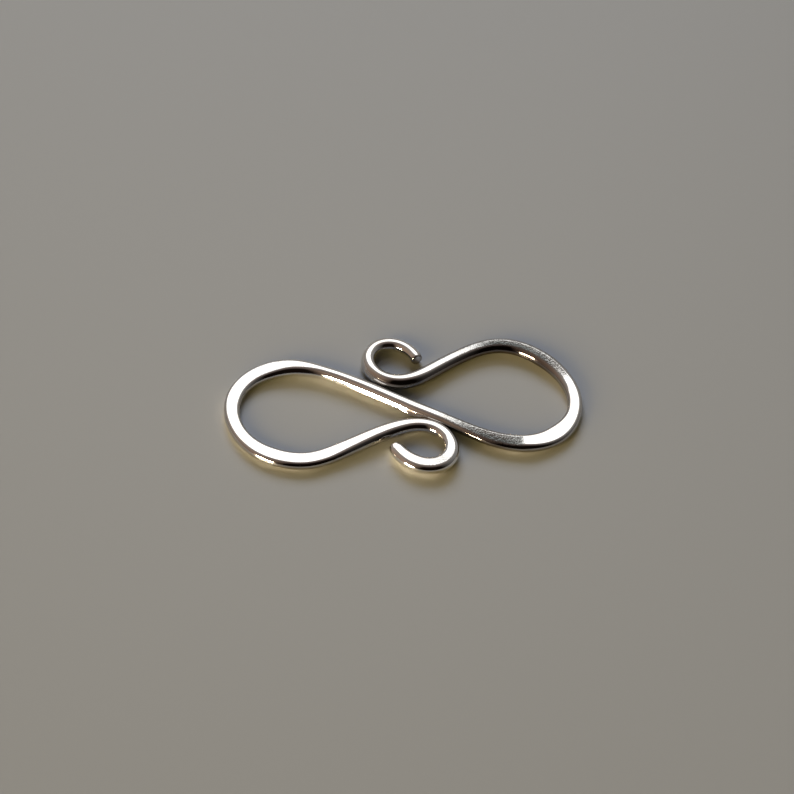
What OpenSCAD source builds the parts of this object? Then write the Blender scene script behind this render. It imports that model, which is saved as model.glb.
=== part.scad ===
// Figure eight clasp: one length of round wire, bent in a plane into two teardrop loops
// that run back to the middle and end in small curls, then hammered flat on a bench block.
// It lies on the plane z = 0, with the eight along X and its middle at the origin.

/* [Wire] */
// Diameter of the round wire before it is hammered
wire_d = 1.02; // [0.8:0.01:1.03]
// How far each flank bulges past the flat, as a share of half the height of the wire
bulge = 0.9; // [0.7:0.02:0.9]
// Radius of the smoothed rim at the two cut ends
end_round = 0.12; // [0.05:0.01:0.2]

/* [Eight] */
// Length of the eight, between the middles of the wire in its two loops
eight_len = 27.2; // [27:0.1:45]
// Direction in which the crossing leg leaves the middle, in degrees from +X
leg_angle = 151.5; // [140:0.5:160]

/* [Fineness] */
// Longest step from one ring of the surface to the next
ring_step = 0.65; // [0.4:0.05:1]
// Most turn of the wire from one ring to the next, in degrees
ring_turn = 9; // [6:1:15]
// Points round each flank
flank_points = 12; // [8:1:14]

/* [Hidden] */
silver = [0.86, 0.85, 0.83];
end_steps = 3; // rings in the smoothed rim of a cut end

// Columns of the two bending tables. Each row is a place along the wire, counted from the
// crossing of the eight, and the values run evenly from row to row.
along = 0; // distance from the crossing
bend = 1;  // how fast the wire turns there, in degrees for each mm, left turns above 0
flat = 2;  // width of the hammered flat, as a share of the wire's diameter
thick = 3; // height of the hammered wire, as a share of the wire's diameter

// Crossing leg, left loop and front curl
front_half = [
    [0, -1, 0.24, 0.95],
    [7, 3, 0.20, 0.97],
    [9.5, 10, 0.55, 0.94],
    [12, 13, 0.89, 0.74],
    [15, 15, 0.82, 0.64],
    [19, 9.5, 0.61, 0.63],
    [24, 11, 0.83, 0.67],
    [27.5, 8.5, 0.80, 0.69],
    [30, -0.5, 0.60, 0.82],
    [33.5, -4.5, 0.41, 0.94],
    [36, -23, 0.30, 0.77],
    [38, -22.5, 0.29, 0.80],
    [41, -37, 0.58, 0.88],
    [43, -19.5, 0.60, 0.86],
    [45.4, -9, 0.36, 0.88]
];

// Crossing leg, right loop and back curl
back_half = [
    [0, 1, 0.24, 0.95],
    [4, -1.5, 0.29, 0.86],
    [8, 6.5, 0.50, 0.86],
    [10.5, 12.5, 0.76, 0.76],
    [13, 12.5, 1.04, 0.61],
    [16, 14, 0.60, 0.66],
    [19, 10, 0.50, 0.76],
    [22.5, 6, 0.42, 0.99],
    [26, 15.5, 0.40, 0.98],
    [29.5, 4, 0.43, 0.88],
    [32.5, 0, 0.38, 0.93],
    [35, -21.5, 0.24, 1.00],
    [38, -23, 0.17, 0.99],
    [41, -37.5, 0.20, 0.99],
    [44.9, -11.5, 0.12, 0.99]
];

function last(list) = list[len(list) - 1];
function reversed(list) = [for (i = [len(list) - 1 : -1 : 0]) list[i]];
function column(list, c) = [for (row = list) row[c]];

// Rings that the stretch of wire between two rows needs
function ring_count(a, b) = let (
        run = b[along] - a[along],
        turn = abs(a[bend] + b[bend]) / 2 * run
    )
    ceil(max(run / ring_step, turn / ring_turn));

// Rows of a half, with the rows between them filled in
function stations(half) = concat([half[0]], [
    for (i = [1 : len(half) - 1])
        let (n = ring_count(half[i - 1], half[i]))
            for (j = [1 : n]) half[i - 1] + (half[i] - half[i - 1]) * j / n
]);

// Straight distance covered by an arc of the given length and turn
function chord(run, turn) = abs(turn) < 0.001 ? run : run * sin(turn / 2) / (turn / 2 * PI / 180);

// Places of the stations of a half in the plane: [x, y, heading]
function walk(rows, start) = [
    for (
        i = 0, h = start, p = [0, 0];
        i < len(rows);
        next = rows[min(i + 1, len(rows) - 1)],
        run = next[along] - rows[i][along],
        turn = run * (rows[i][bend] + next[bend]) / 2,
        p = p + chord(run, turn) * [cos(h + turn / 2), sin(h + turn / 2)],
        h = h + turn,
        i = i + 1
    ) [p.x, p.y, h]
];

// Size of the bent shape against the tables, from the length of the eight
function span(places) = max(column(places, 0)) - min(column(places, 0));
grow = eight_len / span(concat(
    walk(stations(front_half), leg_angle),
    walk(stations(back_half), leg_angle - 180)
));

// Rings of a half: [x, y, heading, flat, height, inset], the last ones round its cut end
function half_rings(half, start) = let (
        rows = stations(half),
        places = walk(rows, start),
        tip = last(places),
        w = last(rows)[flat] * wire_d,
        t = last(rows)[thick] * wire_d
    )
    concat(
        [
            for (i = [0 : len(rows) - 1])
                let (p = places[i])
                    [p.x * grow, p.y * grow, p[2], rows[i][flat] * wire_d, rows[i][thick] * wire_d, 0]
        ],
        [
            for (i = [1 : end_steps])
                let (a = 90 * i / end_steps, d = end_round * sin(a))
                    [
                        tip.x * grow + d * cos(tip[2]),
                        tip.y * grow + d * sin(tip[2]),
                        tip[2], w, t, end_round * (1 - cos(a))
                    ]
        ]
    );

// Rings of the whole wire, from the tip of the front curl to the tip of the back curl
function turned(ring) = [ring.x, ring.y, ring[2] + 180, ring[3], ring[4], ring[5]];
front_rings = reversed([for (ring = half_rings(front_half, leg_angle)) turned(ring)]);
back_rings = half_rings(back_half, leg_angle - 180);
rings = concat(front_rings, [for (i = [1 : len(back_rings) - 1]) back_rings[i]]);

// Outline of the hammered wire, [across, up]: flat above and below, bulging at both flanks
function section(w, t, inset) = [
    for (side = [1, -1], i = [0 : flank_points - 1])
        let (a = side * (180 * i / (flank_points - 1) - 90))
            [
                side * (w / 2 + (bulge * t / 2 - inset) * cos(a)),
                t / 2 + (t / 2 - inset) * sin(a)
            ]
];

function ring_points(ring) = [
    for (q = section(ring[3], ring[4], ring[5]))
        [ring.x - q.x * sin(ring[2]), ring.y + q.x * cos(ring[2]), q.y]
];

loose_points = [for (ring = rings) each ring_points(ring)];
function middle(c) = (min(column(loose_points, c)) + max(column(loose_points, c))) / 2;
centre = [middle(0), middle(1), 0];
wire_points = [for (p = loose_points) p - centre];

per_ring = 2 * flank_points;
ring_total = len(rings);
side_faces = [
    for (r = [0 : ring_total - 2], i = [0 : per_ring - 1])
        let (
            j = (i + 1) % per_ring,
            a = r * per_ring,
            b = a + per_ring
        )
            each [[a + i, b + i, a + j], [a + j, b + i, b + j]]
];
cut_faces = [
    [for (i = [0 : per_ring - 1]) i],
    [for (i = [1 : per_ring]) ring_total * per_ring - i]
];

module clasp_wire() {
    color(silver)
        polyhedron(points = wire_points, faces = concat(side_faces, cut_faces), convexity = 8);
}

clasp_wire();
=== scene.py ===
import math

import bpy
import numpy as np
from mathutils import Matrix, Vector


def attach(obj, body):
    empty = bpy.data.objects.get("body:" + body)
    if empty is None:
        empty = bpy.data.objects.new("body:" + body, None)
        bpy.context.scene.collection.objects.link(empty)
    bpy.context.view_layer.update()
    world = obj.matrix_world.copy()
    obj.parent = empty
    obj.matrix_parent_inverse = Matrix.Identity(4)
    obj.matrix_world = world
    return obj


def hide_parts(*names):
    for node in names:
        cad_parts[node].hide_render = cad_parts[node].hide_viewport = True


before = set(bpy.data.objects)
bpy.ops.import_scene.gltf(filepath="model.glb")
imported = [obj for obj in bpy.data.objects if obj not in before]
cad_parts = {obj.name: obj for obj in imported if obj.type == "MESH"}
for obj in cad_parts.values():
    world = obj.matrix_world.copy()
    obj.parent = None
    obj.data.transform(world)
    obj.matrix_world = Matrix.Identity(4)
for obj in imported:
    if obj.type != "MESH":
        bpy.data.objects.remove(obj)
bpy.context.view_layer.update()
mm = 0.001
print("frame loaded")


# short ways to add nodes to a tree
def addNode(tree, kind, inputs=None, **settings):
    node = tree.nodes.new(kind)
    for key, value in settings.items():
        setattr(node, key, value)
    for key, value in (inputs or {}).items():
        if isinstance(value, bpy.types.NodeSocket):
            tree.links.new(value, node.inputs[key])
        else:
            node.inputs[key].default_value = value
    return node


def addMath(tree, operation, a, b=0.0, c=0.0):
    return addNode(tree, "ShaderNodeMath", {0: a, 1: b, 2: c}, operation=operation).outputs[0]


def addRange(tree, value, limits, results=(0.0, 1.0), **settings):
    inputs = {"Value": value, "From Min": limits[0], "From Max": limits[1]}
    inputs.update({"To Min": results[0], "To Max": results[1]})
    return addNode(tree, "ShaderNodeMapRange", inputs, **settings).outputs[0]


def addRamp(tree, value, stops):
    node = addNode(tree, "ShaderNodeValToRGB", {"Fac": value})
    stops = list(stops)
    ramp = node.color_ramp
    while len(ramp.elements) < len(stops):
        ramp.elements.new(0.5)
    for element, (place, colour) in zip(ramp.elements, stops):
        element.position = place
        element.color = (*colour, 1.0)
    return node.outputs["Color"]


camera = {
    "elevation": 48.0,        # degrees above the floor
    "distance": 122.4,        # mm from the point it looks at
    "lookAt": (-0.504, 1.141, 0.0),
    "pixelsPerTan": 1530.0,   # focal length in pixels of the square picture
    "picture": 794.0,
    "sensor": 36.0,
    "clip": (0.001, 20.0),    # metres
}


def makeCamera(c):
    data = bpy.data.cameras.new("camera")
    data.sensor_width = c["sensor"]
    data.lens = c["pixelsPerTan"] * c["sensor"] / c["picture"]
    data.clip_start, data.clip_end = c["clip"]
    data.dof.use_dof = False
    holder = bpy.data.objects.new("camera", data)
    bpy.context.scene.collection.objects.link(holder)
    e = math.radians(c["elevation"])
    back = Vector((0.0, -math.cos(e), math.sin(e)))
    holder.location = (Vector(c["lookAt"]) + back * c["distance"]) * mm
    holder.rotation_euler = (math.radians(90.0 - c["elevation"]), 0.0, 0.0)
    bpy.context.scene.camera = holder


makeCamera(camera)
print("camera placed")


wire = {
    "diameter": 1.02,       # mm, before hammering
    "bulge": 0.9,           # how far a flank stands out, as a share of half the height
    "endRound": 0.12,       # mm, rim of the cut ends
    "endRings": 5,
    "tipTaper": 0.3,        # mm over which the flat narrows at a cut end
    "tipLeast": 0.15,       # the least that it narrows by is the root of this
    "eightLength": 27.19,   # mm, a hair under the solid's, so that it stays inside it
    "legAngle": 151.5,      # degrees, direction of the crossing leg
    "ringStep": 0.062,      # mm between rings
    "flatPoints": 8,        # across each flat
    "flankPoints": 20,      # round each flank
    "hammerDepth": 0.0035,  # mm
    "hammerSize": 1.3,      # mm, one hammer mark
    "edgeWander": 0.012,    # mm, unevenness of the flat's edges
    "seed": 7,
}

# Rows along each half, counted from the crossing. bend is in degrees for each mm, flat and
# thick are shares of the diameter, tilt is how far the top flat leans to the wire's left in
# degrees, the sixth column is how pitted the flat is, its dull tone partly painted shade, bevel
# is how straight the flank on the wire's left is, below 0 the one on its right, and the last
# column is painted shade: how much darker the flanks are painted.
columns = ("along", "bend", "flat", "thick", "tilt", "pits", "bevel", "tarnish")
frontHalf = (
    (0.0, -1.0, 0.25, 0.95, 0.0, 0.0, 1.0, 0.0),
    (3.5, 1.0, 0.22, 0.96, 0.0, 0.0, 1.0, 0.0),
    (7.0, 3.0, 0.20, 0.97, 0.0, 0.0, 0.4, 0.0),
    (9.5, 10.0, 0.55, 0.94, 0.0, 0.1, 0.5, 0.0),
    (12.0, 13.0, 0.89, 0.74, 0.0, 0.2, 0.5, 0.3),
    (15.0, 15.0, 0.82, 0.64, 0.0, 0.0, 0.3, 0.3),
    (19.0, 9.5, 0.61, 0.63, 0.0, 0.0, -0.6, 0.3),
    (24.0, 11.0, 0.83, 0.67, 0.0, 0.0, -0.5, 0.4),
    (27.5, 8.5, 0.80, 0.69, 0.0, 0.0, -0.5, 0.4),
    (30.0, -0.5, 0.60, 0.82, 0.0, 0.0, -0.5, 0.4),
    (33.5, -4.5, 0.41, 0.94, 0.0, 0.0, -0.5, 0.4),
    (36.0, -23.0, 0.28, 0.88, 0.0, 0.1, -0.5, 0.3),
    (38.0, -22.5, 0.27, 0.88, 0.0, 0.0, -0.6, 0.0),
    (41.0, -37.0, 0.58, 0.88, 0.0, 0.3, 0.0, 0.0),
    (43.0, -19.5, 0.60, 0.86, 0.0, 0.0, 0.0, 0.0),
    (45.4, -9.0, 0.36, 0.88, 0.0, 0.0, 0.0, 0.0),
)
backHalf = (
    (0.0, 1.0, 0.25, 0.95, 0.0, 0.0, -1.0, 0.0),
    (1.0, 0.375, 0.28, 0.94, 0.0, 0.0, -1.4, 0.0),
    (1.8, -0.125, 0.284, 0.924, 0.1, 0.0, -1.0, 0.0),
    (2.4, -0.5, 0.286, 0.908, 0.2, 0.0, -0.1, 0.05),
    (4.0, -1.5, 0.29, 0.86, 1.5, 0.4, 0.0, 0.5),
    (8.0, 6.5, 0.50, 0.86, 10.0, 1.0, 0.0, 0.8),
    (10.1, 11.54, 0.72, 0.78, 3.0, 0.9, -0.4, 0.4),
    (10.5, 12.5, 0.76, 0.76, 0.0, 0.0, -0.5, 0.5),
    (13.0, 12.5, 1.04, 0.61, 0.0, 0.0, -0.5, 0.5),
    (16.0, 14.0, 0.60, 0.66, 0.0, 0.0, -0.2, 0.4),
    (19.0, 10.0, 0.50, 0.76, 0.0, 0.0, 0.4, 0.5),
    (22.5, 6.0, 0.34, 0.99, -9.0, 0.9, 0.5, 0.9),
    (26.0, 15.5, 0.30, 0.98, -9.0, 1.0, 0.5, 0.9),
    (29.5, 4.0, 0.38, 0.88, 0.0, 0.3, 0.6, 0.9),
    (32.5, 0.0, 0.38, 0.93, 0.0, 0.1, 0.5, 0.8),
    (35.0, -21.5, 0.25, 1.00, 0.0, 0.0, 0.8, 0.7),
    (38.0, -23.0, 0.15, 0.99, 0.0, 0.0, 1.3, 0.3),
    (41.0, -37.5, 0.19, 0.99, 0.0, 0.0, 0.0, 0.0),
    (44.6, -13.5, 0.13, 0.99, 0.0, 0.0, 0.0, 0.0),
    (44.9, -11.5, 0.12, 0.99, 0.0, 0.0, 0.0, 0.6),
)
# small sideways moves of the bent wire, to its left: (along, mm)
frontShift = (
    (0.0, 0.02), (2.5, 0.0), (23.0, 0.0), (26.0, -0.1), (28.5, 0.02), (31.0, 0.0), (45.4, 0.0),
)
backShift = (
    (0.0, -0.02), (1.2, -0.045), (4.0, 0.0), (33.5, 0.0), (36.0, 0.05), (38.5, 0.0), (44.9, 0.0),
)


def smoothColumn(x, rows, values):
    # cubic through the rows that never overshoots them
    step = np.diff(rows)
    slope = np.diff(values) / step
    grade = np.zeros(len(rows))
    for i in range(1, len(rows) - 1):
        if slope[i - 1] * slope[i] > 0.0:
            a = 2.0 * step[i] + step[i - 1]
            b = step[i] + 2.0 * step[i - 1]
            grade[i] = (a + b) / (a / slope[i - 1] + b / slope[i])
    grade[0], grade[-1] = slope[0], slope[-1]
    i = np.clip(np.searchsorted(rows, x, side="right") - 1, 0, len(rows) - 2)
    t = (x - rows[i]) / step[i]
    return (
        (1.0 + 2.0 * t) * (1.0 - t) ** 2 * values[i]
        + t * (1.0 - t) ** 2 * step[i] * grade[i]
        + t * t * (3.0 - 2.0 * t) * values[i + 1]
        - t * t * (1.0 - t) * step[i] * grade[i + 1]
    )


def bendHalf(half, shifts, heading, w):
    rows = {name: np.array([row[i] for row in half]) for i, name in enumerate(columns)}
    count = int(math.ceil(rows["along"][-1] / w["ringStep"]))
    along = np.linspace(0.0, rows["along"][-1], count + 1)
    step = along[1] - along[0]
    bend = np.interp(along, rows["along"], rows["bend"])
    turn = np.concatenate([[0.0], np.cumsum((bend[1:] + bend[:-1]) / 2.0 * step)])
    angle = np.radians(heading + turn)
    middle = (angle[1:] + angle[:-1]) / 2.0
    out = {
        "x": np.concatenate([[0.0], np.cumsum(np.cos(middle) * step)]),
        "y": np.concatenate([[0.0], np.cumsum(np.sin(middle) * step)]),
        "angle": angle,
        "along": along,
        "inset": np.zeros(count + 1),
    }
    for name in columns[2:]:    # all but along and bend
        out[name] = smoothColumn(along, rows["along"], rows[name])
    places, moves = np.array(shifts).T
    shift = smoothColumn(along, places, moves)
    out["x"] = out["x"] - shift * np.sin(angle)
    out["y"] = out["y"] + shift * np.cos(angle)
    # the flat narrows at the cut end
    toTip = (along[-1] - along) / w["tipTaper"]
    out["flat"] = out["flat"] * np.sqrt(np.clip(toTip, w["tipLeast"], 1.0))
    return out


def roundEnd(half, grow, w):
    # short rings past the cut, each drawn in a little more
    a = np.radians(90.0 * np.arange(1, w["endRings"] + 1) / w["endRings"])
    ahead = w["endRound"] * np.sin(a)
    last = {name: values[-1] for name, values in half.items()}
    extra = {name: np.full(len(a), value) for name, value in last.items()}
    extra["x"] = last["x"] * grow + ahead * math.cos(last["angle"])
    extra["y"] = last["y"] * grow + ahead * math.sin(last["angle"])
    extra["along"] = last["along"] + ahead
    extra["inset"] = w["endRound"] * (1.0 - np.cos(a))
    out = {name: np.concatenate([values, extra[name]]) for name, values in half.items()}
    count = len(half["x"])
    out["x"][:count] = half["x"] * grow
    out["y"][:count] = half["y"] * grow
    return out


def wholePath(w):
    front = bendHalf(frontHalf, frontShift, w["legAngle"], w)
    back = bendHalf(backHalf, backShift, w["legAngle"] - 180.0, w)
    spread = np.concatenate([front["x"], back["x"]])
    grow = w["eightLength"] / (spread.max() - spread.min())
    front = roundEnd(front, grow, w)
    back = roundEnd(back, grow, w)
    front["angle"] = front["angle"] + math.pi
    front["along"] = -front["along"]
    front["tilt"], front["bevel"] = -front["tilt"], -front["bevel"]
    path = {name: np.concatenate([front[name][::-1], back[name][1:]]) for name in front}
    path["halfFlat"] = path["flat"] * w["diameter"] / 2.0
    path["halfHigh"] = path["thick"] * w["diameter"] / 2.0
    path["sideX"], path["sideY"] = -np.sin(path["angle"]), np.cos(path["angle"])
    # the shape is centred by its outline, as the solid is
    reach = path["halfFlat"] + w["bulge"] * path["halfHigh"] - path["inset"]
    for name, side in (("x", "sideX"), ("y", "sideY")):
        edges = np.concatenate([path[name] + reach * path[side], path[name] - reach * path[side]])
        path[name] = path[name] - (edges.max() + edges.min()) / 2.0
    return path


def lineMesh(name, places, attributes):
    mesh = bpy.data.meshes.new(name)
    edges = [(i, i + 1) for i in range(len(places) - 1)]
    mesh.from_pydata([tuple(p) for p in places], edges, [])
    for key, values in attributes.items():
        values = np.asarray(values, dtype=np.float32)
        kind = "FLOAT_VECTOR" if values.ndim == 2 else "FLOAT"
        field = "vector" if values.ndim == 2 else "value"
        mesh.attributes.new(key, kind, "POINT").data.foreach_set(field, values.ravel())
    item = bpy.data.objects.new(name, mesh)
    bpy.context.scene.collection.objects.link(item)
    return item


def pathObject(w):
    path = wholePath(w)
    zero = np.zeros(len(path["x"]))
    places = np.stack([path["x"], path["y"], zero], 1) * mm
    fields = {
        "place": places,
        "side": np.stack([path["sideX"], path["sideY"], zero], 1),
        "halfFlat": path["halfFlat"] * mm,
        "halfHigh": path["halfHigh"] * mm,
        "inset": path["inset"] * mm,
        "lean": np.tan(np.radians(path["tilt"])),
        "pits": path["pits"],
        "bevel": path["bevel"],
        "tarnish": path["tarnish"],
        "alongWire": path["along"] * mm,
    }
    return lineMesh("wirePath", places, fields)


# A straight flank stands out from the rounded one by these shares of half the height:
# (place up the flank, out)
bevelShape = (
    (-1.0, 0.0), (-0.9, 0.2), (-0.7, 0.3), (-0.5, 0.315), (-0.35, 0.295), (-0.25, 0.27),
    (-0.15, 0.235), (-0.08, 0.2), (0.0, 0.155), (0.2, 0.062), (0.4, 0.01), (0.5, 0.0), (1.0, 0.0),
)
drawnSize = 0.4 * mm    # keeps the outline's points apart; the tree below gives them their places


def sectionObject(w):
    # going round from the right flank's foot: flank, top flat, flank, bottom flat
    share, out, rise = [], [], []
    for side in (1.0, -1.0):
        for i in range(w["flankPoints"]):
            a = math.radians(180.0 * i / w["flankPoints"] - 90.0) * side
            share.append(side)
            out.append(side * math.cos(a))
            rise.append(math.sin(a))
        for i in range(w["flatPoints"]):
            share.append(side * (1.0 - 2.0 * i / w["flatPoints"]))
            out.append(0.0)
            rise.append(side)
    share, out, rise = np.array(share), np.array(out), np.array(rise)
    size = np.stack([share + out, rise, 0.0 * rise], 1) * drawnSize
    count = len(share)
    straight = np.interp(rise, *zip(*bevelShape)) * np.sign(out)
    fields = {"flatShare": share, "flankOut": out, "rise": rise, "straightOut": straight}
    section = lineMesh("wireSection", size, fields)
    mesh = section.data
    mesh.edges.add(1)
    mesh.edges[count - 1].vertices = (count - 1, 0)
    mesh.update()
    return section


hammering = {
    "markLevel": 0.8,       # noise at which a hammer mark would have no depth
    "wanderFineness": 1.7,  # of the flat's edges, against a hammer mark
    "flatPower": 8.0,       # leaves only the flat, out of all that faces up
    "pitShare": 0.8,        # of the flat's pits that a level flat has
    "pitAndShadeLean": 2.2,         # how much more they crowd on the low side of a leaning one, painting shade on that side
}


def hammerTree(h):
    tree = bpy.data.node_groups.new("hammeredWire", "GeometryNodeTree")
    face = tree.interface
    face.new_socket("Geometry", in_out="INPUT", socket_type="NodeSocketGeometry")
    for name, kind in (
        ("Section", "NodeSocketObject"),
        ("Flank bulge", "NodeSocketFloat"),
        ("Hammer depth", "NodeSocketFloat"),
        ("Hammer size", "NodeSocketFloat"),
        ("Edge wander", "NodeSocketFloat"),
        ("Seed", "NodeSocketFloat"),
        ("Material", "NodeSocketMaterial"),
    ):
        face.new_socket(name, in_out="INPUT", socket_type=kind)
    face.new_socket("Geometry", in_out="OUTPUT", socket_type="NodeSocketGeometry")
    given = addNode(tree, "NodeGroupInput").outputs

    def field(name, kind="FLOAT"):
        node = addNode(tree, "GeometryNodeInputNamedAttribute", {"Name": name}, data_type=kind)
        return node.outputs["Attribute"]

    def vectorMath(operation, a, b=None, scale=None):
        node = addNode(tree, "ShaderNodeVectorMath", {0: a}, operation=operation)
        if b is not None:
            tree.links.new(b, node.inputs[1])
        if scale is not None:
            tree.links.new(scale, node.inputs["Scale"])
        return node.outputs[0]

    path = addNode(tree, "GeometryNodeMeshToCurve", {"Mesh": given["Geometry"]})
    shape = addNode(tree, "GeometryNodeObjectInfo", {"Object": given["Section"]})
    ring = addNode(tree, "GeometryNodeMeshToCurve", {"Mesh": shape.outputs["Geometry"]})
    swept = addNode(
        tree,
        "GeometryNodeCurveToMesh",
        {"Curve": path.outputs[0], "Profile Curve": ring.outputs[0], "Fill Caps": True},
    )

    # hammer marks: broad shallow dips, on the upper side only
    seedMove = addNode(tree, "ShaderNodeCombineXYZ", {"X": given["Seed"]})
    spot = vectorMath("ADD", field("place", "FLOAT_VECTOR"), seedMove.outputs[0])
    across = addMath(tree, "MULTIPLY", field("flatShare"), field("halfFlat"))
    spread = vectorMath("SCALE", field("side", "FLOAT_VECTOR"), scale=across)
    spot = vectorMath("ADD", spot, spread)
    size = addMath(tree, "DIVIDE", 1.0, given["Hammer size"])
    marks = addNode(tree, "ShaderNodeTexNoise", {"Vector": spot, "Scale": size, "Detail": 1.0})
    marks = addMath(tree, "SUBTRACT", marks.outputs[0], h["markLevel"])
    upper = addMath(tree, "MAXIMUM", field("rise"), 0.0)
    dip = addMath(tree, "MULTIPLY", marks, given["Hammer depth"])
    dip = addMath(tree, "MULTIPLY", dip, upper)

    # the flat's edges wander a little
    fine = addMath(tree, "MULTIPLY", size, h["wanderFineness"])
    wander = addNode(tree, "ShaderNodeTexNoise", {"Vector": spot, "Scale": fine, "Detail": 2.0})
    wander = addMath(tree, "SUBTRACT", wander.outputs[0], 0.5)
    wander = addMath(tree, "MULTIPLY", wander, given["Edge wander"])
    wander = addMath(tree, "MULTIPLY", wander, upper)
    wander = addMath(tree, "MULTIPLY", wander, field("flatShare"))

    # place of each point: across the wire, and up from the floor
    high = field("halfHigh")
    drawnIn = field("inset")
    reach = addMath(tree, "MULTIPLY", high, given["Flank bulge"])
    reach = addMath(tree, "SUBTRACT", reach, drawnIn)
    reach = addMath(tree, "MULTIPLY", reach, field("flankOut"))
    across = addMath(tree, "ADD", across, reach)
    across = addMath(tree, "ADD", across, wander)
    straight = addMath(tree, "MULTIPLY", field("bevel"), field("flatShare"))
    straight = addMath(tree, "MAXIMUM", straight, 0.0)
    straight = addMath(tree, "MULTIPLY", straight, field("straightOut"))
    straight = addMath(tree, "MULTIPLY", straight, high)
    across = addMath(tree, "ADD", across, straight)
    lift = addMath(tree, "SUBTRACT", high, drawnIn)
    lift = addMath(tree, "MULTIPLY", lift, field("rise"))
    up = addMath(tree, "ADD", high, lift)
    # a leaning flat keeps its high edge and drops the other
    leaning = addMath(tree, "MULTIPLY", field("flatShare"), field("lean"))
    leaning = addMath(tree, "SUBTRACT", leaning, addMath(tree, "ABSOLUTE", field("lean")))
    leaning = addMath(tree, "MULTIPLY", leaning, field("halfFlat"))
    leaning = addMath(tree, "MULTIPLY", leaning, upper)
    up = addMath(tree, "ADD", up, leaning)
    up = addMath(tree, "ADD", up, dip)
    sideways = vectorMath("SCALE", field("side", "FLOAT_VECTOR"), scale=across)
    upward = addNode(tree, "ShaderNodeCombineXYZ", {"Z": up})
    place = vectorMath("ADD", field("place", "FLOAT_VECTOR"), sideways)
    place = vectorMath("ADD", place, upward.outputs[0])
    placed = addNode(
        tree, "GeometryNodeSetPosition", {"Geometry": swept.outputs[0], "Position": place}
    )

    # pits stay on the flat, most on its low side, where their dull tone partly paints shade; the
    # flanks get painted shade
    flatOnly = addMath(tree, "POWER", upper, h["flatPower"])
    flankOnly = addMath(tree, "SUBTRACT", 1.0, flatOnly)
    lowSide = addMath(tree, "MULTIPLY", field("flatShare"), field("lean"))
    lowSide = addMath(tree, "MULTIPLY_ADD", lowSide, -h["pitAndShadeLean"], h["pitShare"])
    pitted = addMath(tree, "MULTIPLY", flatOnly, lowSide)
    made = placed.outputs[0]
    for name, share in (("pits", pitted), ("tarnish", flankOnly)):
        value = addMath(tree, "MULTIPLY", field(name), share)
        made = addNode(
            tree, "GeometryNodeStoreNamedAttribute",
            {"Geometry": made, "Name": name, "Value": value},
            data_type="FLOAT", domain="POINT",
        ).outputs[0]

    for kind, extra in (
        ("GeometryNodeSetShadeSmooth", {"Shade Smooth": True}),
        ("GeometryNodeRealizeInstances", {}),
        ("GeometryNodeSetMaterial", {"Material": given["Material"]}),
    ):
        made = addNode(tree, kind, {"Geometry": made, **extra}).outputs[0]
    addNode(tree, "NodeGroupOutput", {"Geometry": made})
    return tree


def sweepWire(w, material):
    path = pathObject(w)
    section = sectionObject(w)
    tree = hammerTree(hammering)
    modifier = path.modifiers.new("hammered wire", "NODES")
    modifier.node_group = tree
    sockets = {
        item.name: item.identifier
        for item in tree.interface.items_tree
        if item.item_type == "SOCKET" and item.in_out == "INPUT"
    }
    for name, value in (
        ("Section", section),
        ("Flank bulge", w["bulge"]),
        ("Hammer depth", w["hammerDepth"] * mm),
        ("Hammer size", w["hammerSize"] * mm),
        ("Edge wander", w["edgeWander"] * mm),
        ("Seed", w["seed"] * mm),
        ("Material", material),
    ):
        modifier[sockets[name]] = value
    depsgraph = bpy.context.evaluated_depsgraph_get()
    mesh = bpy.data.meshes.new_from_object(path.evaluated_get(depsgraph))
    path.modifiers.remove(modifier)
    mesh.name = "hammeredWire"
    for item in (path, section):
        bpy.data.objects.remove(item)
    piece = bpy.data.objects.new("hammeredWire", mesh)
    bpy.context.scene.collection.objects.link(piece)
    return piece


silver = {
    "bright": (0.94, 0.93, 0.91),
    "warm": (0.88, 0.84, 0.78),     # faint clouds of tarnish
    "cloudSize": 900.0,             # per metre, as the other sizes here
    "cloudRange": (0.35, 0.75),     # noise from bright to warm
    "hazeFineness": 2.3,            # of the dull haze, against the clouds
    "hazeRange": (0.3, 0.7),        # noise from low roughness to high
    "roughness": (0.03, 0.07),
    "pittedRoughness": 0.06,        # added where the flat is pitted
    "pittedAndShadedTone": (0.31, 0.335, 0.33),    # where the flat is pitted: partly its dull tone, partly painted shade
    "tarnished": (0.13, 0.10, 0.085),   # painted shade: flanks painted dark in place of the dark they reflect
    "lineSize": 14000.0,            # polishing lines
    "lineDepth": 0.0000004,         # metres
    "pitSize": 7000.0,
    "pitRange": (0.42, 0.68),       # noise from sound metal to the bottom of a pit
    "pitDepth": 0.000014,           # metres
}


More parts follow.
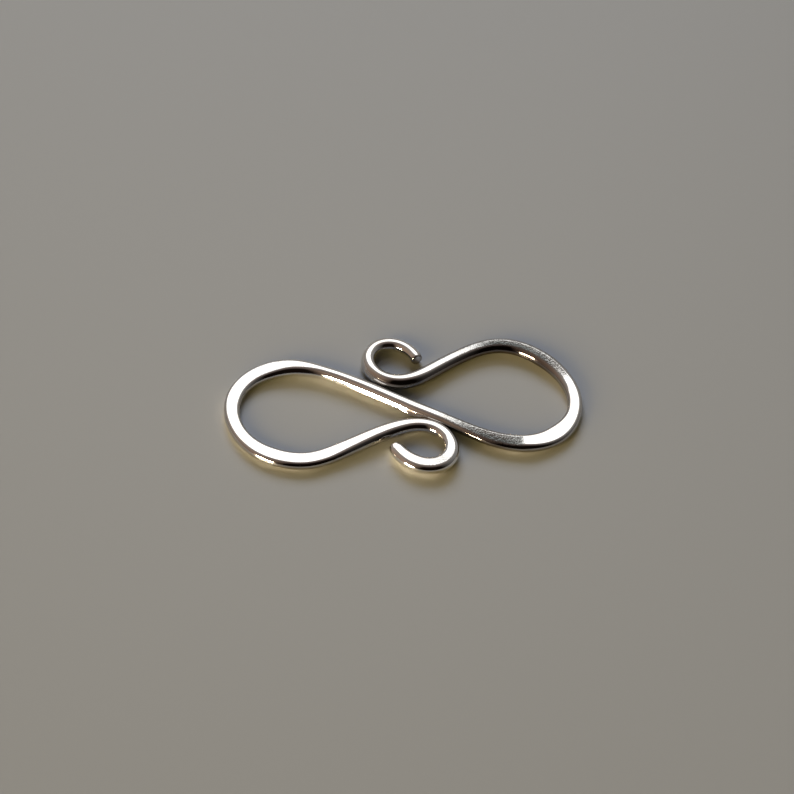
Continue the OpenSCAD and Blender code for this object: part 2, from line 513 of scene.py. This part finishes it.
def silverMaterial(s):
    material = bpy.data.materials.new("polishedSilver")
    material.use_nodes = True
    tree = material.node_tree
    tree.nodes.clear()
    spot = addNode(tree, "ShaderNodeTexCoord").outputs["Object"]
    pits = addNode(tree, "ShaderNodeAttribute", attribute_name="pits").outputs["Fac"]
    # painted shade on the flanks, carried as an attribute
    tarnish = addNode(tree, "ShaderNodeAttribute", attribute_name="tarnish").outputs["Fac"]
    along = addNode(tree, "ShaderNodeAttribute", attribute_name="alongWire").outputs["Fac"]

    def noise(scale, detail):
        inputs = {"Vector": spot, "Scale": scale, "Detail": detail}
        return addNode(tree, "ShaderNodeTexNoise", inputs).outputs["Fac"]

    def bump(height, depth, under=None):
        inputs = {"Height": height, "Strength": 1.0, "Distance": depth}
        if under is not None:
            inputs["Normal"] = under
        return addNode(tree, "ShaderNodeBump", inputs).outputs[0]

    clouds = noise(s["cloudSize"], 4.0)
    tint = addRamp(tree, clouds, zip(s["cloudRange"], (s["bright"], s["warm"])))
    # the pitted flats' dull tone is partly painted shade, and the flanks' dark tone is painted
    # shade
    for share, tone in ((pits, "pittedAndShadedTone"), (tarnish, "tarnished")):
        inputs = {"Factor": share, 6: tint, 7: (*s[tone], 1.0)}
        tint = addNode(tree, "ShaderNodeMix", inputs, data_type="RGBA").outputs[2]

    haze = noise(s["cloudSize"] * s["hazeFineness"], 5.0)
    rough = addRange(tree, haze, s["hazeRange"], s["roughness"])
    pitted = addMath(tree, "MULTIPLY", pits, s["pittedRoughness"])
    rough = addMath(tree, "ADD", rough, pitted)

    # fine polishing lines round the wire, and pits where the hammered flat is rough
    line = addMath(tree, "MULTIPLY", along, s["lineSize"])
    inputs = {"W": line, "Scale": 1.0, "Detail": 2.0}
    lines = addNode(tree, "ShaderNodeTexNoise", inputs, noise_dimensions="1D").outputs["Fac"]
    grain = noise(s["pitSize"], 2.0)
    grain = addRange(tree, grain, s["pitRange"], interpolation_type="SMOOTHSTEP")
    lined = bump(lines, s["lineDepth"])
    pitBump = bump(addMath(tree, "MULTIPLY", grain, pits), s["pitDepth"], lined)
    shader = addNode(
        tree, "ShaderNodeBsdfPrincipled",
        {"Base Color": tint, "Metallic": 1.0, "Roughness": rough, "Normal": pitBump},
    )
    addNode(tree, "ShaderNodeOutputMaterial", {"Surface": shader.outputs[0]})
    return material


hammeredWire = sweepWire(wire, silverMaterial(silver))
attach(hammeredWire, "root")
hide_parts("clasp_wire")
print("wire bent and hammered:", len(hammeredWire.data.polygons), "faces")


floor = {
    "size": 3.0,             # metres
    "drop": 0.00001,         # metres under the clasp
    "colour": (0.50, 0.49, 0.485),
    "roughness": 0.4,        # satin, so it carries a soft mirror image of the lamp
    "specular": 0.5,
}


def makeFloor(f):
    h = f["size"] / 2.0
    z = -f["drop"]
    mesh = bpy.data.meshes.new("floor")
    mesh.from_pydata([(-h, -h, z), (h, -h, z), (h, h, z), (-h, h, z)], [], [(0, 1, 2, 3)])
    item = bpy.data.objects.new("floor", mesh)
    bpy.context.scene.collection.objects.link(item)
    material = bpy.data.materials.new("paleFloor")
    material.use_nodes = True
    shader = material.node_tree.nodes["Principled BSDF"]
    shader.inputs["Base Color"].default_value = (*f["colour"], 1.0)
    shader.inputs["Roughness"].default_value = f["roughness"]
    shader.inputs["Specular IOR Level"].default_value = f["specular"]
    mesh.materials.append(material)
    return item


makeFloor(floor)
print("floor laid")


# azimuth is counted from straight behind the clasp, to the right; sizes are in degrees.
# A card is seen in the silver only, and a glow lights the floor only.
lights = {
    "windowCard": {"azimuth": -6.0, "elevation": 47.0, "wide": 36.0, "high": 18.0,
                   "distance": 1.5, "radiance": 1.2, "colour": (1.0, 0.99, 0.99), "card": True},
    "windowGlow": {"azimuth": -4.0, "elevation": 27.0, "wide": 34.0, "high": 18.0,
                   "distance": 1.5, "radiance": 11.3, "colour": (0.88, 1.0, 1.22), "card": False},
    "lampRim": {"azimuth": -129.7, "elevation": 6.0, "wide": 27.0, "high": 16.0,
                "distance": 1.05, "radiance": 0.9, "colour": (1.0, 0.82, 0.60), "card": True},
    "lampCard": {"azimuth": -129.7, "elevation": 4.75, "wide": 21.0, "high": 12.5,
                 "distance": 1.0, "radiance": 90.0, "colour": (1.0, 0.85, 0.60), "card": True},
    "lampGlow": {"azimuth": -131.0, "elevation": 20.0, "wide": 25.0, "high": 22.0,
                 "distance": 1.0, "radiance": 3.9, "colour": (1.0, 0.77, 0.40), "card": False},
    "roomGlow": {"azimuth": -145.0, "elevation": 23.0, "wide": 130.0, "high": 32.0,
                 "distance": 1.0, "radiance": 1.22, "colour": (1.25, 0.98, 0.33), "card": False},
    "ceilingGlow": {"azimuth": -100.0, "elevation": 70.0, "wide": 80.0, "high": 80.0,
                    "distance": 1.0, "radiance": 0.03, "colour": (1.1, 0.99, 0.70), "card": False},
}
# what the silver sees besides, in a few plain tones: by azimuth near the floor, and by depth
# overhead
surroundings = {
    "dark": (0.005, 0.003, 0.002),
    "warm": (0.28, 0.20, 0.15),
    "pale": (0.25, 0.24, 0.23),
    "around": ((-155.0, "dark"), (-125.0, "warm"), (-95.0, "warm"), (-35.0, "pale"),
               (40.0, "pale"), (140.0, "dark")),
    "overheadFront": (0.02, 0.014, 0.014),
    "overheadBack": (0.19, 0.15, 0.135),
    "overheadDepth": (-0.55, 0.35),   # y of the direction, from the front tone to the back one
    "rise": (0.8, 1.0),               # z of the direction, from the tones around to those overhead
    "seen": (0.62, 0.61, 0.60),       # for the camera alone
}


def direction(azimuth, elevation):
    a, e = math.radians(azimuth), math.radians(elevation)
    return Vector((math.sin(a) * math.cos(e), math.cos(a) * math.cos(e), math.sin(e)))


def makeLight(name, s):
    data = bpy.data.lights.new(name, "AREA")
    data.shape = "RECTANGLE"
    data.size = 2.0 * s["distance"] * math.tan(math.radians(s["wide"] / 2.0))
    data.size_y = 2.0 * s["distance"] * math.tan(math.radians(s["high"] / 2.0))
    data.color = s["colour"]
    data.energy = s["radiance"] * math.pi * data.size * data.size_y
    item = bpy.data.objects.new(name, data)
    bpy.context.scene.collection.objects.link(item)
    toward = direction(s["azimuth"], s["elevation"])
    item.location = toward * s["distance"]
    item.rotation_euler = toward.to_track_quat("Z", "Y").to_euler()
    item.visible_diffuse = not s["card"]
    item.visible_glossy = s["card"]


def makeWorld(s):
    world = bpy.data.worlds.new("surroundings")
    world.use_nodes = True
    tree = world.node_tree
    tree.nodes.clear()
    look = addNode(tree, "ShaderNodeTexCoord").outputs["Generated"]
    toward = addNode(tree, "ShaderNodeSeparateXYZ", {0: look}).outputs

    def passOver(value, limits):
        return addRange(tree, value, limits, interpolation_type="SMOOTHSTEP")

    def blend(share, a, b):
        tones = [x if isinstance(x, bpy.types.NodeSocket) else (*x, 1.0) for x in (a, b)]
        inputs = {"Factor": share, 6: tones[0], 7: tones[1]}
        return addNode(tree, "ShaderNodeMix", inputs, data_type="RGBA").outputs[2]

    turn = addMath(tree, "ARCTAN2", toward["X"], toward["Y"])
    turn = addMath(tree, "MULTIPLY_ADD", turn, 0.5 / math.pi, 0.5)
    around = addRamp(tree, turn, [((a + 180.0) / 360.0, s[tone]) for a, tone in s["around"]])
    depth = passOver(toward["Y"], s["overheadDepth"])
    overhead = blend(depth, s["overheadFront"], s["overheadBack"])
    tone = blend(passOver(toward["Z"], s["rise"]), around, overhead)
    path = addNode(tree, "ShaderNodeLightPath").outputs
    # the floor is lit by the lights alone
    tone = blend(path["Is Diffuse Ray"], tone, (0.0, 0.0, 0.0))
    tone = blend(path["Is Camera Ray"], tone, s["seen"])
    background = addNode(tree, "ShaderNodeBackground", {"Color": tone})
    addNode(tree, "ShaderNodeOutputWorld", {"Surface": background.outputs[0]})
    bpy.context.scene.world = world


for name, settings in lights.items():
    makeLight(name, settings)
makeWorld(surroundings)
bpy.context.scene.view_settings.view_transform = "Standard"
print("lights set")
